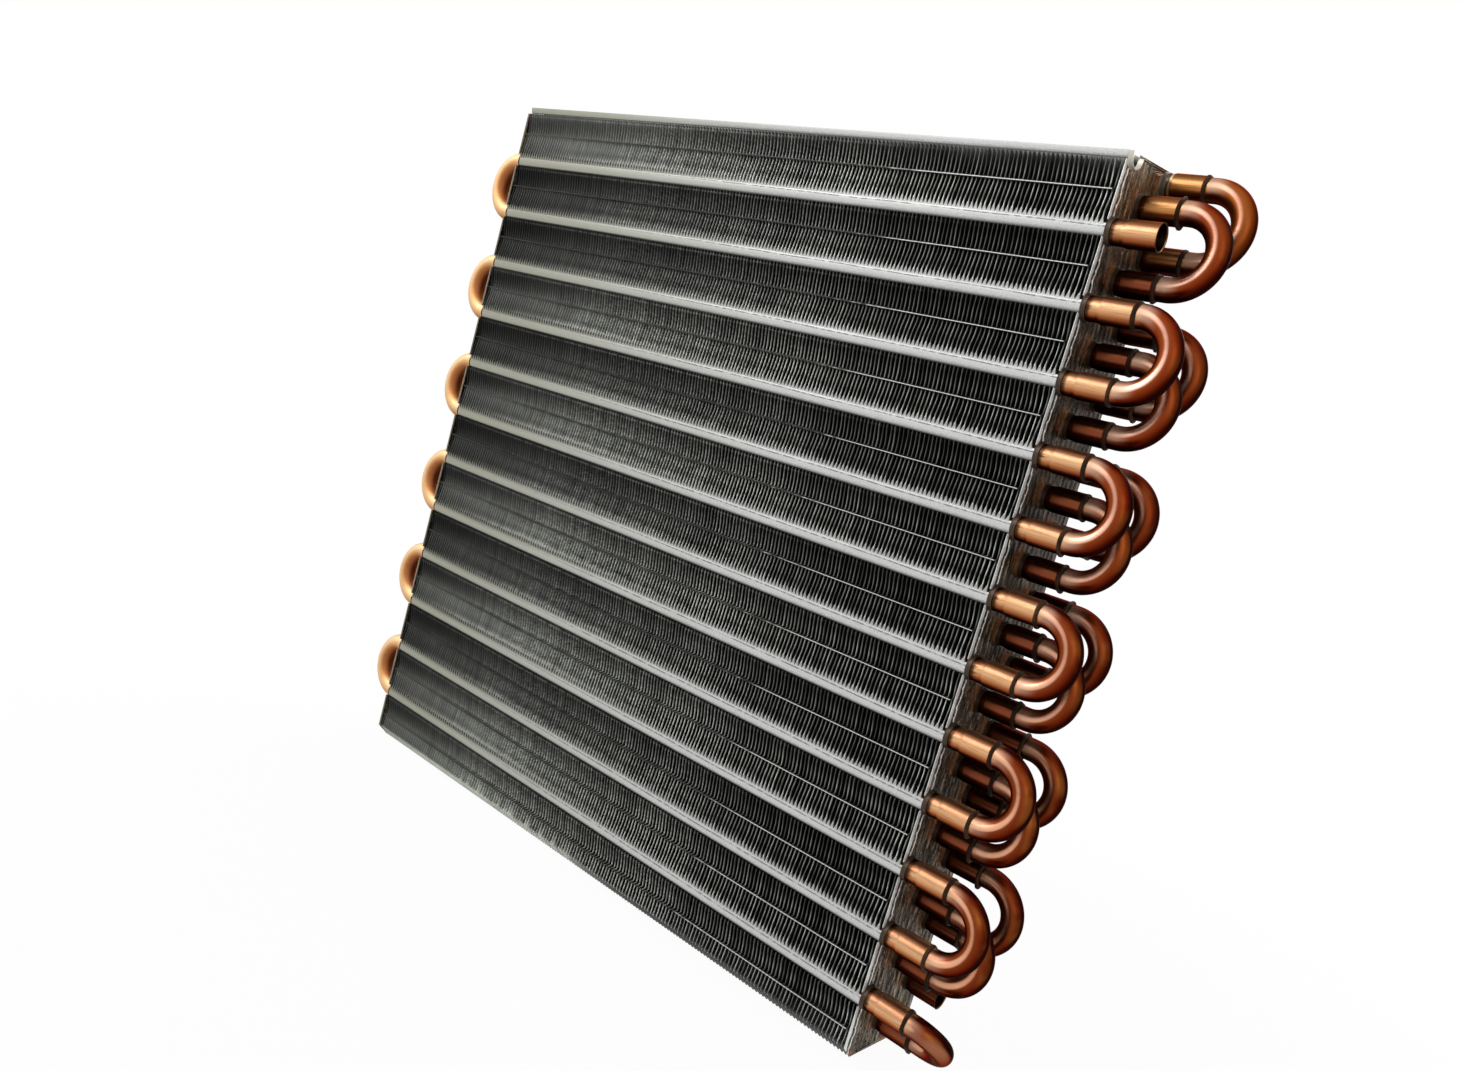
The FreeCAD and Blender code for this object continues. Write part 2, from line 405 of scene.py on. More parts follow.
def endFinish():
    finish = Finish("endFinAluminium")
    x, y, z = finish.x, finish.y, finish.z
    streak = finish.noise(finish.vector(0.0, y * 0.85 + z * 0.08, z * 0.12), 1.0, 4.0, 0.7)
    speck = finish.grain(0.0, 3.6, 1.1, 2.0, 0.6)
    patch = finish.grain(0.0, 0.14, 0.10, 3.0, 0.6)
    isLow = finish.fade(z, 20.0, 150.0)
    isTop = finish.smooth(z, 236.0, 262.0)
    pale = finish.mix(isTop, finish.mix(isLow, endLook["pale"], endLook["lowPale"]), endLook["topPale"])
    dark = finish.mix(isTop, endLook["dark"], endLook["topDark"])
    burnt = finish.mix(isTop, endLook["burnt"], endLook["topBurnt"])
    colour = finish.mix(finish.smooth(streak * 0.65 + speck * 0.35, 0.47, 0.62), dark, pale)
    colour = finish.mix(finish.smooth(patch, 0.42, 0.62) * 0.6, colour, burnt)
    mirror = finish.mix(streak, endLook["dullMirror"], endLook["brightMirror"])
    shown = mirroredTubes(finish, streak) * finish.smooth(speck, 0.25, 0.60) * 0.85
    colour = finish.mix(shown, colour, mirror)

    # bright lines near the front edge: two wandering ones on the right end, a straight one on the left end
    atRight = finish.smooth(x, 0.0, 1.0)
    inward = y - frontY / mm
    wandering = inward + (finish.grain(0.0, 0.0, 0.16, 3.0, 0.6) * 3.0 - 0.5)
    rightEdge = finish.fade(wandering, 2.6, 2.9) + finish.between(wandering, 3.8, 4.0, 4.3, 4.5)
    rightEdge = (rightEdge * atRight * (0.60 + speck * 0.7)).capped()
    leftEdge = finish.fade(inward, 0.5, 0.6) * (1.0 - atRight)
    colour = finish.mix(rightEdge, colour, endLook["rightEdge"])
    colour = finish.mix(leftEdge, colour, endLook["leftEdge"])
    finish.set(Base_Color=colour, Metallic=0.45, Roughness=0.38, Specular_IOR_Level=0.2)
    finish.bump(streak, 0.4, 0.0004)
    return finish.material


def collarFinish():
    finish = Finish("endCollarAluminium")
    grain = finish.noise(finish.place, 400.0, 3.0, 0.6)
    sooty = finish.mix(grain, tint(0.014, 0.007, 0.003), tint(0.075, 0.040, 0.020))
    atTop = finish.smooth(finish.z, 263.0, 267.0) * (1.0 - finish.smooth(finish.y, -9.0, -5.0) * 0.85)
    finish.set(Base_Color=finish.mix(atTop, sooty, tint(0.56, 0.52, 0.43)), Metallic=0.4, Roughness=0.4)
    return finish.material


# Colours round a tube, from the side that faces away from the light to the side that faces it
copperLook = {
    "frontBell": [
        (0.0, (0.010, 0.002, 0.001)), (0.36, (0.055, 0.008, 0.002)), (0.52, (0.19, 0.042, 0.012)),
        (0.65, (0.36, 0.12, 0.045)), (0.76, (0.60, 0.29, 0.13)), (0.85, (0.72, 0.41, 0.21)),
        (0.93, (0.47, 0.24, 0.125)), (0.98, (0.30, 0.14, 0.075)), (1.0, (0.22, 0.09, 0.04)),
    ],
    "shadedInnerBell": [
        (0.0, (0.005, 0.001, 0.001)), (0.36, (0.012, 0.002, 0.001)), (0.52, (0.024, 0.004, 0.001)),
        (0.65, (0.085, 0.015, 0.005)), (0.78, (0.24, 0.062, 0.028)), (0.88, (0.19, 0.050, 0.022)),
        (0.95, (0.085, 0.024, 0.010)), (1.0, (0.040, 0.013, 0.006)),
    ],
    "topBell": [
        (0.0, (0.012, 0.003, 0.001)), (0.36, (0.040, 0.010, 0.003)), (0.52, (0.11, 0.028, 0.007)),
        (0.65, (0.34, 0.105, 0.026)), (0.78, (0.54, 0.23, 0.070)), (0.88, (0.52, 0.24, 0.085)),
        (0.95, (0.36, 0.17, 0.065)), (1.0, (0.22, 0.10, 0.038)),
    ],
    "bend": [
        (0.0, (0.020, 0.0015, 0.0004)), (0.35, (0.026, 0.002, 0.0005)), (0.50, (0.014, 0.001, 0.0003)),
        (0.58, (0.016, 0.001, 0.0003)), (0.70, (0.060, 0.005, 0.001)), (0.80, (0.14, 0.016, 0.003)),
        (0.90, (0.22, 0.034, 0.007)), (1.0, (0.31, 0.070, 0.022)),
    ],
    "topBend": [
        (0.0, (0.012, 0.002, 0.0005)), (0.45, (0.022, 0.003, 0.0006)), (0.58, (0.060, 0.010, 0.001)),
        (0.70, (0.13, 0.024, 0.003)), (0.80, (0.21, 0.046, 0.007)), (0.90, (0.30, 0.075, 0.015)),
        (1.0, (0.40, 0.12, 0.032)),
    ],
    "hairpin": [
        (0.0, (0.30, 0.10, 0.035)), (0.36, (0.38, 0.13, 0.045)), (0.52, (0.46, 0.19, 0.070)),
        (0.66, (0.64, 0.37, 0.17)), (0.80, (0.86, 0.60, 0.35)), (1.0, (0.92, 0.70, 0.45)),
    ],
    "dullStreak": tint(0.16, 0.050, 0.016),
    "goldenGlint": tint(0.42, 0.14, 0.030),
    "deepRed": tint(0.030, 0.002, 0.0005),
    "lowShine": tint(0.80, 0.40, 0.24),
    "highShine": tint(0.86, 0.50, 0.37),
    "paleSheen": tint(0.62, 0.42, 0.29),
    "root": tint(0.085, 0.026, 0.008),
    "floorLight": tint(0.36, 0.14, 0.075),
    "behind": tint(0.045, 0.010, 0.004),
    "topCollar": tint(0.74, 0.60, 0.40),
    "cone": tint(0.030, 0.012, 0.005),
    "hollowShade": tint(0.014, 0.010, 0.008),
    "fluxAndShadow": tint(0.032, 0.013, 0.006),
}


def bellColour(finish, inFront, isHigh, uneven):
    # painted light round each bell, from the side turned from the light to the side turned to it; the middle
    # and rear rows' bells are painted darker as they stand in shade, the top ones lighter
    upward = finish.facing(0.0, -0.77, 0.64) * isHigh + finish.facing(0.0, -0.62, 0.79) * (1.0 - isHigh)
    upward = upward + uneven * 0.25
    isTop = finish.smooth(finish.z, 246.0, 256.0)
    inner = finish.ramp(upward, copperLook["shadedInnerBell"])
    inner = finish.mix(isTop, inner, finish.ramp(upward, copperLook["topBell"]))
    bell = finish.mix(inFront, inner, finish.ramp(upward, copperLook["frontBell"]))
    streaks = finish.smooth(finish.grain(0.10, 3.4, 3.4, 3.0, 0.6), 0.48, 0.68)
    return finish.mix(streaks * 0.40, bell, copperLook["dullStreak"])


def bendColour(finish, litSide, isHigh, uneven, cloud):
    y, z = finish.y, finish.z
    atTop = finish.smooth(y, 2.0, 8.0) * finish.smooth(z, 238.0, 250.0)
    bend = finish.ramp(litSide, copperLook["bend"])
    bend = finish.mix(atTop, bend, finish.ramp(litSide, copperLook["topBend"]))
    # painted glint: a golden sheen on the outer side of a bend, fainter higher up
    goldenGlint = finish.smooth(finish.facing(0.68, -0.70, 0.22), 0.92, 0.985) * finish.smooth(cloud, 0.40, 0.60)
    bend = finish.mix(goldenGlint * (0.50 - isHigh * 0.38), bend, copperLook["goldenGlint"])
    bend = finish.mix((1.0 - isHigh) * 0.30, bend, copperLook["deepRed"])
    glint = finish.smooth(finish.facing(-0.10, -0.97, 0.20) + uneven * 0.04, 0.974, 0.997)
    glint = glint * (0.40 + cloud * 1.0) * (1.0 - finish.smooth(y, -9.0, -4.0) * 0.20)
    shine = finish.mix(isHigh, copperLook["lowShine"], copperLook["highShine"])
    return finish.mix(glint.capped(), bend, shine)


def copperFinish():
    finish = Finish("tubeCopper")
    x, y, z = finish.x, finish.y, finish.z
    cloud = finish.noise(finish.place, 55.0, 3.0, 0.6)
    speck = finish.noise(finish.place, 620.0, 3.0, 0.65)
    drawn = finish.grain(0.12, 1.6, 1.6, 3.0, 0.6)
    uneven = (drawn - 0.5) * 0.10 + (cloud - 0.5) * 0.06
    inFront = finish.fade(y, -9.0, -8.4)
    onLeft = finish.fade(x, -60.0, -20.0)
    isHigh = finish.smooth(z, 60.0, 240.0)
    fromRim = x - (inFront * (rimX - innerRimX) + innerRimX) / mm
    onBend = finish.smooth(fromRim, 0.5, 3.5)
    litSide = finish.facing(-0.20, -0.94, 0.27) + uneven * 0.10     # the side towards the fins is the lit one

    bell = bellColour(finish, inFront, isHigh, uneven)
    colour = finish.mix(onBend, bell, bendColour(finish, litSide, isHigh, uneven, cloud))
    hairpin = finish.ramp(finish.facing(-0.80, -0.50, 0.30) + uneven * 0.6, copperLook["hairpin"])
    colour = finish.mix(onLeft, colour, hairpin)
    # a pale, speckled sheen just past each rim, painted on the lit upper side only
    pale = finish.between(fromRim, 1.2, 1.6, 3.0, 8.0) * (0.5 + speck * 0.6)
    pale = pale * finish.smooth(litSide, 0.78, 0.95) * (0.45 + isHigh * 0.55)
    colour = finish.mix(pale * 0.8, colour, copperLook["paleSheen"])

    # darker where a leg leaves the fins, lighter where the floor's light reaches it
    root = finish.fade(x + (drawn - cloud) * 6.0, 129.6, 131.4) * (1.0 - onLeft)
    colour = finish.mix(root * 0.85, colour, copperLook["root"])
    lifted = finish.fade(z, 18.0, 27.0) * finish.smooth(finish.facing(0.72, -0.62, -0.30), 0.84, 0.97)
    colour = finish.mix(lifted * onBend * 0.8, colour, copperLook["floorLight"])
    # painted shade: the middle and rear rows are darker where they lie behind the front row, but not at the
    # top nor on the left
    behind = finish.smooth(y, -9.0, 4.0) * (1.0 - finish.smooth(z, 262.0, 268.0) * 0.9) * (1.0 - onLeft)
    colour = finish.mix(behind * 0.22, colour, copperLook["behind"])
    topCollar = finish.smooth(y, 2.0, 4.0) * finish.smooth(z, 264.0, 268.0) * finish.fade(x, 130.9, 131.3)
    colour = finish.mix(topCollar, colour, copperLook["topCollar"])
    cone = finish.between(fromRim, -13.6, -13.0, -12.6, -11.6) * inFront
    cone = cone + finish.between(fromRim, -11.0, -10.6, -10.2, -9.6) * (1.0 - inFront)
    colour = finish.mix(cone * 0.85, colour, copperLook["cone"])

    # painted shade inside the inlet and inside the stack, and round each rim burnt flux darkened with painted
    # shadow
    inletBore = finish.away(frontRow / mm, frontTubes[0][1] / mm)
    mouth = finish.fade(inletBore, 3.50, 3.62) * finish.smooth(x, 128.5, 129.0)
    inStack = finish.between(x, -127.9, -127.5, 127.5, 127.9)
    colour = finish.mix(mouth + inStack, colour, copperLook["hollowShade"])
    edge = finish.noise(finish.place, 260.0, 2.0, 0.6) * 0.6 - 0.3
    fluxAndShadow = finish.smooth(fromRim + edge, -0.2, 0.0) * finish.fade(fromRim - edge, 0.9, 1.2) * (1.0 - mouth)
    colour = finish.mix(fluxAndShadow * 0.95, colour, copperLook["fluxAndShadow"])
    finish.set(
        Base_Color=colour,
        Metallic=0.95 - fluxAndShadow * 0.8 - pale * 0.3 - inStack * 0.6,
        Roughness=0.26 + speck * 0.14 + fluxAndShadow * 0.35 + pale * 0.25 + inStack * 0.4 + onLeft * 0.25,
        Specular_Tint=tint(0.35, 0.17, 0.10),
    )
    finish.bump(drawn * 0.5 + speck * 0.5, 0.08, 0.0003)
    return finish.material


def brazeFinish():
    finish = Finish("brazeFiller")
    speck = finish.noise(finish.place, 700.0, 3.0, 0.6)
    cloud = finish.noise(finish.place, 180.0, 2.0, 0.5)
    colour = finish.mix(finish.smooth(cloud, 0.4, 0.7), tint(0.016, 0.007, 0.003), tint(0.055, 0.025, 0.011))
    finish.set(Base_Color=colour, Metallic=0.0, Roughness=0.45 + speck * 0.3, Specular_IOR_Level=0.12)
    finish.bump(speck, 0.35, 0.0004)
    return finish.material


print("finishes")
finMetal = finFinish()
stripMetal = stripFinish()
endMetal = endFinish()
collarMetal = collarFinish()
copper = copperFinish()
braze = brazeFinish()

for name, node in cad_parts.items():
    if name.startswith(("hairpin", "return_bend")):
        node.data.materials.clear()
        node.data.materials.append(copper)
        for face in node.data.polygons:
            face.use_smooth = True


def store(mesh, **values):
    for name, numbers in values.items():
        mesh.attributes.new(name, "FLOAT", "POINT").data.foreach_set("value", numbers)


def newMesh(name, points, faces, **values):
    mesh = bpy.data.meshes.new(name)
    mesh.from_pydata(points, [], faces)
    store(mesh, **values)
    mesh.validate()
    mesh.update()
    return mesh


# How fine the bends of the fins are, as noise per metre along X and up
ripple = {
    "together": (55.0, 95.0),
    "alone": 170.0,
    "bulge": 90.0,
    "bulgeReach": 6 * mm,       # how far from the right end the fins bulge
    "tips": 60.0,
    "apart": 37.0,              # how far two fins lie apart in the noise
}


def repeatTree():
    # one shape repeated along X, with its free edges bent a little
    group = bpy.data.node_groups.new("repeatAlongX", "GeometryNodeTree")
    face = group.interface
    face.new_socket("Geometry", in_out="INPUT", socket_type="NodeSocketGeometry")
    for name, kind in (
        ("Count", "NodeSocketInt"), ("Pitch", "NodeSocketFloat"), ("First X", "NodeSocketFloat"),
        ("Bend", "NodeSocketFloat"), ("Jitter", "NodeSocketFloat"), ("Lift", "NodeSocketFloat"),
        ("End Bulge", "NodeSocketFloat"), ("Right X", "NodeSocketFloat"), ("Seed", "NodeSocketInt"),
        ("Material", "NodeSocketMaterial"),
    ):
        face.new_socket(name, in_out="INPUT", socket_type=kind)
    face.new_socket("Geometry", in_out="OUTPUT", socket_type="NodeSocketGeometry")
    tree = Tree(group)
    inputNode = group.nodes.new("NodeGroupInput")
    given = {socket.name: Wire(tree, socket) for socket in inputNode.outputs if socket.name}
    line = tree.add(
        "GeometryNodeMeshLine",
        {"mode": "OFFSET"},
        {
            "Count": given["Count"],
            "Start Location": tree.vector(given["First X"], 0.0, 0.0),
            "Offset": tree.vector(given["Pitch"], 0.0, 0.0),
        },
    )
    copies = tree.add("GeometryNodeInstanceOnPoints", {}, {"Points": line, "Instance": given["Geometry"]})
    place = tree.add("GeometryNodeInputPosition")
    x = tree.add("ShaderNodeSeparateXYZ", {}, {0: place}, "X")
    z = tree.add("ShaderNodeSeparateXYZ", {}, {0: place}, "Z")
    chance = tree.add(
        "FunctionNodeRandomValue",
        {"data_type": "FLOAT"},
        {"ID": (x / given["Pitch"]).math("ROUND"), "Seed": given["Seed"]},
        1,
    )
    toned = tree.add(
        "GeometryNodeStoreNamedAttribute",
        {"data_type": "FLOAT", "domain": "INSTANCE"},
        {"Geometry": copies, "Name": "finTone", "Value": chance},
    )
    whole = tree.add("GeometryNodeRealizeInstances", {}, {"Geometry": toned})

    def stored(name):
        return tree.add("GeometryNodeInputNamedAttribute", {"data_type": "FLOAT"}, {"Name": name})

    # fins sway together, each a little by itself, and bulge near the right end
    along, up = ripple["together"]
    own = stored("finTone") * ripple["apart"]
    together = tree.noise(tree.vector(x * along, 0.0, z * up), 1.0, 1.0) - 0.5
    alone = tree.noise(tree.vector(own, 3.7, z * ripple["alone"]), 1.0, 1.0) - 0.5
    bulge = tree.noise(tree.vector(8.1, own * 0.05, z * ripple["bulge"]), 1.0, 1.0) - 0.35
    nearEnd = tree.smooth(x, given["Right X"] - ripple["bulgeReach"], given["Right X"])
    sway = together * given["Bend"] + alone * given["Jitter"] + bulge * nearEnd * given["End Bulge"]
    rise = (tree.noise(tree.vector(own, 9.2, z * ripple["tips"]), 1.0, 1.0) - 0.5) * given["Lift"]
    offset = tree.vector(sway * stored("sway"), 0.0, rise * stored("reach"))
    bent = tree.add("GeometryNodeSetPosition", {}, {"Geometry": whole, "Offset": offset})
    painted = tree.add("GeometryNodeSetMaterial", {}, {"Geometry": bent, "Material": given["Material"]})
    output = group.nodes.new("NodeGroupOutput")
    group.links.new(painted.socket, output.inputs["Geometry"])
    return group


alongX = repeatTree()


def repeated(name, mesh, settings, material):
    maker = bpy.data.objects.new(name + "Maker", mesh)
    bpy.context.scene.collection.objects.link(maker)
    modifier = maker.modifiers.new("repeat", "NODES")
    modifier.node_group = alongX
    socketNames = {
        item.name: item.identifier for item in alongX.interface.items_tree
        if item.item_type == "SOCKET" and item.in_out == "INPUT"
    }
    for key, value in {**settings, "Material": material}.items():
        modifier[socketNames[key]] = value
    depsgraph = bpy.context.evaluated_depsgraph_get()
    made = bpy.data.meshes.new_from_object(maker.evaluated_get(depsgraph), depsgraph=depsgraph)
    made.name = name
    bpy.data.objects.remove(maker)
    return addPiece(name, made, material)


def addPiece(name, mesh, material, body="root"):
    if not mesh.materials:
        mesh.materials.append(material)
    piece = bpy.data.objects.new(name, mesh)
    bpy.context.scene.collection.objects.link(piece)
    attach(piece, body)
    print(name, "triangles", sum(len(face.vertices) - 2 for face in mesh.polygons))
    return piece


# One fin: a thin plate cut open at the front row, with a set-back edge between the bright strips
fin = {
    "thickness": 0.12 * mm,
    "count": 177,
    "blocks": 4,                # pieces that the inner fins are split into
    "steps": [                  # points down a pitch, from one strip to the next
        0.0, 0.06, 0.15, 0.26, 0.37, 0.47, 0.489, 0.511, 0.54, 0.64, 0.75, 0.86, 0.95, 1.0,
    ],
    "middle": (0.48, 0.52),     # the stretch half way down that isn't set back
    "upperSetBack": 1.3 * mm,
    "lowerSetBack": 0.8 * mm,
    "columns": [0.7 * mm, 2.0 * mm],    # points behind the leading edge
    "edgeDepth": 2.0 * mm,      # what counts as the leading edge
    "holeGap": 0.05 * mm,       # between a hole and its tube
    "holeSides": 9,
    "holeTest": 0.97,           # a triangle whose middle lies within this share of a hole is cut out
    "bandAngle": 38,
    "cutEnd": 0.965,            # where the cut-open hole meets the top, in radii behind its middle
    "rearSteps": 26,
    "clearance": 0.35 * mm,     # inner points keep this far from holes and from the top
    "topClearance": 0.2 * mm,
    "wavesPerRow": 4,
    "waveFade": 3.0 * mm,       # the pressed waves fade out this close to the front and rear edges
    "swayDepth": 3.2 * mm,      # a bent fin is straight again this far behind its leading edge
}
holeRadius = coil["legRadius"] + fin["holeGap"]
halfBand = coil["bandHeight"] / 2
openSpan = coil["tubePitch"] - 2 * halfBand
tiny = 1e-6


def setBack(share):
    start, end = fin["middle"]
    if share < start:
        return fin["upperSetBack"] * math.sin(math.pi / 2 * share / start) ** 1.5
    if share < end:
        return 0.0
    return fin["lowerSetBack"] * math.cos(math.pi / 2 * (share - 0.5) / 0.5) ** 1.3


def edgeAt(z, straight):
    # where a fin's leading edge is at this height
    tube = coil["tubePitch"] * math.ceil((z + halfBand) / coil["tubePitch"] - tiny)
    share = (tube - halfBand - z) / openSpan
    return frontY + (setBack(share) if 0 < share < 1 and not straight else 0)


def frontEdge(low, high, straight):
    # points up one stretch of leading edge, from a strip's top to the next strip's underside
    points = []
    for share in reversed(fin["steps"]):
        z = high - share * openSpan
        if z >= low - tiny:
            points.append((frontY if straight else frontY + setBack(share), z))
    return points


def circle(centre, radius, sides):
    angles = [2 * math.pi * n / sides for n in range(sides)]
    return [(centre[0] + radius * math.cos(a), centre[1] + radius * math.sin(a)) for a in angles]


def keyhole(centre, sides):
    # round the back of a front tube, from under it to over it
    half = math.radians(fin["bandAngle"])
    turn = 2 * math.pi - 2 * half
    angles = [half + turn * n / sides for n in range(sides + 1)]
    return [(centre[0] - holeRadius * math.cos(a), centre[1] - holeRadius * math.sin(a)) for a in angles]


def topAt(y):
    return frontTop + (y - frontY) * topRise


def finOutline(sides, straight):
    outline = []
    low = coil["noseHeight"]
    for n in range(1, pitches + 1):
        tube = coil["tubePitch"] * n
        outline += frontEdge(low, tube - halfBand, straight)
        if n < pitches:
            outline += keyhole((frontRow, tube), sides)
        low = tube + halfBand
    cutOpen = keyhole((frontRow, frontTop), sides * 2)
    outline += [(y, z) for y, z in cutOpen if z < topAt(y) - fin["topClearance"]]
    cutEnd = frontRow + holeRadius * fin["cutEnd"]
    outline.append((cutEnd, topAt(cutEnd)))
    steps = fin["rearSteps"]
    outline += [(rearY, rearTop * n / steps) for n in range(steps, -1, -1)]
    outline.append((frontY + coil["noseDepth"], 0.0))
    return outline


def inside(point, polygon):
    y, z = point
    found = False
    for (ya, za), (yb, zb) in zip(polygon, polygon[1:] + polygon[:1]):
        if (za > z) != (zb > z) and y < (yb - ya) * (z - za) / (zb - za) + ya:
            found = not found
    return found


def flatFin(outline, sides, extra):
    # the fin as flat (y, z) points and triangles, with its tube holes left open
    tubes = middleTubes + rearTubes
    loops = [outline] + [circle(tube, holeRadius, sides) for tube in tubes]
    points = [point for loop in loops for point in loop]
    edges = []
    start = 0
    for loop in loops:
        edges += [(start + n, start + (n + 1) % len(loop)) for n in range(len(loop))]
        start += len(loop)
    edge = [(y, z) for y, z in outline if y < frontY + fin["edgeDepth"]]
    inner = [(y + depth, z) for y, z in edge for depth in fin["columns"]] + list(extra)
    holes = tubes + frontTubes + [(frontRow, frontTop)]
    clear = fin["clearance"]
    points += [
        p for p in inner
        if inside(p, outline) and p[1] < topAt(p[0]) - clear
        and all(math.dist(p, hole) > holeRadius + clear for hole in holes)
    ]
    made = delaunay_2d_cdt([Vector(p) for p in points], edges, [], 0, 1e-7)
    flat = [tuple(v) for v in made[0]]
    faces = []
    for face in made[2]:
        middle = (sum(flat[n][0] for n in face) / 3, sum(flat[n][1] for n in face) / 3)
        inHole = any(math.dist(middle, tube) <= holeRadius * fin["holeTest"] for tube in tubes)
        if inside(middle, outline) and not inHole:
            faces.append(list(face))
    used = sorted({n for face in faces for n in face})
    index = {n: k for k, n in enumerate(used)}
    return [flat[n] for n in used], [[index[n] for n in face] for face in faces]


def waveAt(y):
    # 0 at the front and rear edges, and from -1 to 1 between them
    fade = min(1, max(0, (y - frontY) / fin["waveFade"]), max(0, (rearY - y) / fin["waveFade"]))
    return math.sin(2 * math.pi * (y - frontY) / (coil["rowPitch"] / fin["wavesPerRow"])) * fade


def finPlate(name, sides, extra=(), wave=0.0, straight=False):
    flat, faces = flatFin(finOutline(sides, straight), sides, extra)
    area = sum(
        (flat[b][0] - flat[a][0]) * (flat[c][1] - flat[a][1])
        - (flat[c][0] - flat[a][0]) * (flat[b][1] - flat[a][1]) for a, b, c in faces
    )
    if area < 0:
        faces = [face[::-1] for face in faces]
    borders = [pair for a, b, c in faces for pair in ((a, b), (b, c), (c, a))]
    known = set(borders)
    rims = [(a, b) for a, b in borders if (b, a) not in known]
    count = len(flat)
    half = fin["thickness"] / 2
    points = [(wave * waveAt(y) + side * half, y, z) for side in (-1, 1) for y, z in flat]
    solid = [[n + count for n in face] for face in faces] + [face[::-1] for face in faces]
    solid += [[a, b, b + count, a + count] for a, b in rims]
    sway = [max(0.0, 1 - (y - frontY) / fin["swayDepth"]) ** 1.5 for y, z in flat] * 2
    depth = [(y - edgeAt(z, straight)) / mm for y, z in flat] * 2
    return newMesh(name, points, solid, sway=sway, reach=[0.0] * (2 * count), depth=depth)


print("fins")
finPitch = (rightX - leftX - fin["thickness"]) / (fin["count"] - 1)
firstFin = leftX + fin["thickness"] / 2
finMesh = finPlate("oneFin", fin["holeSides"])
bending = {
    "Pitch": finPitch, "Bend": 1.2 * mm, "Jitter": 0.8 * mm, "Lift": 0.0,
    "End Bulge": 1.6 * mm, "Right X": rightX, "Seed": 4,
}
innerFins = fin["count"] - 2
start = 1
for block in range(fin["blocks"]):
    count = innerFins // fin["blocks"] + (1 if block < innerFins % fin["blocks"] else 0)
    settings = {**bending, "Count": count, "First X": firstFin + start * finPitch}
    piece = repeated(f"fins_{block + 1}", finMesh, settings, finMetal)
    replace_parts(piece, "fin_stack")
    start += count

# The end fins show their faces, so they get their pressed waves and collars
endFin = {"wave": 0.22 * mm, "across": 60, "up": 92, "sides": 36}

print("end fins")
across = [frontY + (rearY - frontY) * (n + 0.5) / endFin["across"] for n in range(endFin["across"])]
upward = [rearTop * (n + 0.5) / endFin["up"] for n in range(endFin["up"])]
grid = [(y, z) for y in across for z in upward]
endMesh = finPlate("endFin", endFin["sides"], grid, endFin["wave"], True)
for name, place in (("end_fin_left", firstFin), ("end_fin_right", rightX - fin["thickness"] / 2)):
    mesh = endMesh.copy()
    mesh.transform(Matrix.Translation((place, 0, 0)))
    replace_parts(addPiece(name, mesh, endMetal), "fin_stack")


def skin(rings, step, closed=True):
    # faces that join each ring of points to the next one
    faces = []
    for n in range(rings if closed else rings - 1):
        here, there = n * step, (n + 1) % rings * step
        faces += [(here + k, here + (k + 1) % step, there + (k + 1) % step, there + k) for k in range(step)]
    return faces


def turned(profile, centre, sides, start=0.0, sweep=360.0):
    # a closed profile of (x, radius) pairs turned about the X line through centre
    whole = sweep == 360.0
    rings = sides if whole else sides + 1
    points = []
    for n in range(rings):
        angle = math.radians(start + sweep * n / sides)
        points += [(x, centre[0] + r * math.cos(angle), centre[1] + r * math.sin(angle)) for x, r in profile]
    step = len(profile)
    faces = skin(rings, step, whole)
    if not whole:
        faces += [tuple(range(step - 1, -1, -1)), tuple(range(sides * step, sides * step + step))]
    return points, faces


def joinedMesh(name, parts):
    points, faces = [], []
    for somePoints, someFaces in parts:
        start = len(points)
        points += somePoints
        faces += [tuple(n + start for n in face) for face in someFaces]
    return newMesh(name, points, faces)


def heldStill(mesh):
    # its copies are repeated as they are, without a bend
    zero = [0.0] * len(mesh.vertices)
    store(mesh, sway=zero, reach=zero)
    return mesh


print("collars")
collar = {
    "wall": 0.3 * mm,
    "sides": 40,
    "inset": 0.03 * mm,         # how far it stands into the fin's hole
    "flare": 0.15 * mm,
    "flareLength": 0.35 * mm,
    "taper": 0.06 * mm,
    "cutOpen": (182, 180),      # where the half collar on top starts and how far it goes, in degrees
}
inner = holeRadius - collar["inset"]
outer = holeRadius + collar["wall"]
collarEnd = rightX + coil["collarLength"]
collarProfile = [
    (rightX, inner), (rightX, outer + collar["flare"]), (rightX + collar["flareLength"], outer),
    (collarEnd, outer - collar["taper"]), (collarEnd, inner),
]
rings = [turned(collarProfile, tube, collar["sides"]) for tube in middleTubes + rearTubes + frontTubes]
rings.append(turned(collarProfile, (frontRow, frontTop), collar["sides"] // 2, *collar["cutOpen"]))
collars = joinedMesh("collars", rings)
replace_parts(addPiece("end_collars", collars, collarMetal), "fin_stack")

# The bright strips: the front tubes' collars, one inside the next, seen through the cut-open fins
strip = {
    "low": -34,                 # degrees below and above level
    "high": 19,
    "steps": 8,
    "radius": 3.96 * mm,
    "taper": 0.06 * mm,
    "wall": 0.2 * mm,
}


def stripSection(centre, lowAngle, highAngle):
    # one collar's front, curved round its tube from the low angle to the high one
    steps = strip["steps"]
    half = finPitch / 2
    outside, back = strip["radius"], strip["radius"] - strip["wall"]
    points = []
    for radius, x in ((outside, -half), (outside - strip["taper"], half), (back, half), (back, -half)):
        for n in range(steps + 1):
            angle = math.radians(lowAngle + (highAngle - lowAngle) * n / steps)
            points.append((x, centre[0] - radius * math.cos(angle), centre[1] + radius * math.sin(angle)))
    faces = []
    for side in range(4):
        a, b = side * (steps + 1), (side + 1) % 4 * (steps + 1)
        faces += [(a + n, b + n, b + n + 1, a + n + 1) for n in range(steps)]
    last = [side * (steps + 1) + steps for side in range(4)]
    faces += [tuple(last), tuple(side * (steps + 1) for side in range(3, -1, -1))]
    return points, faces


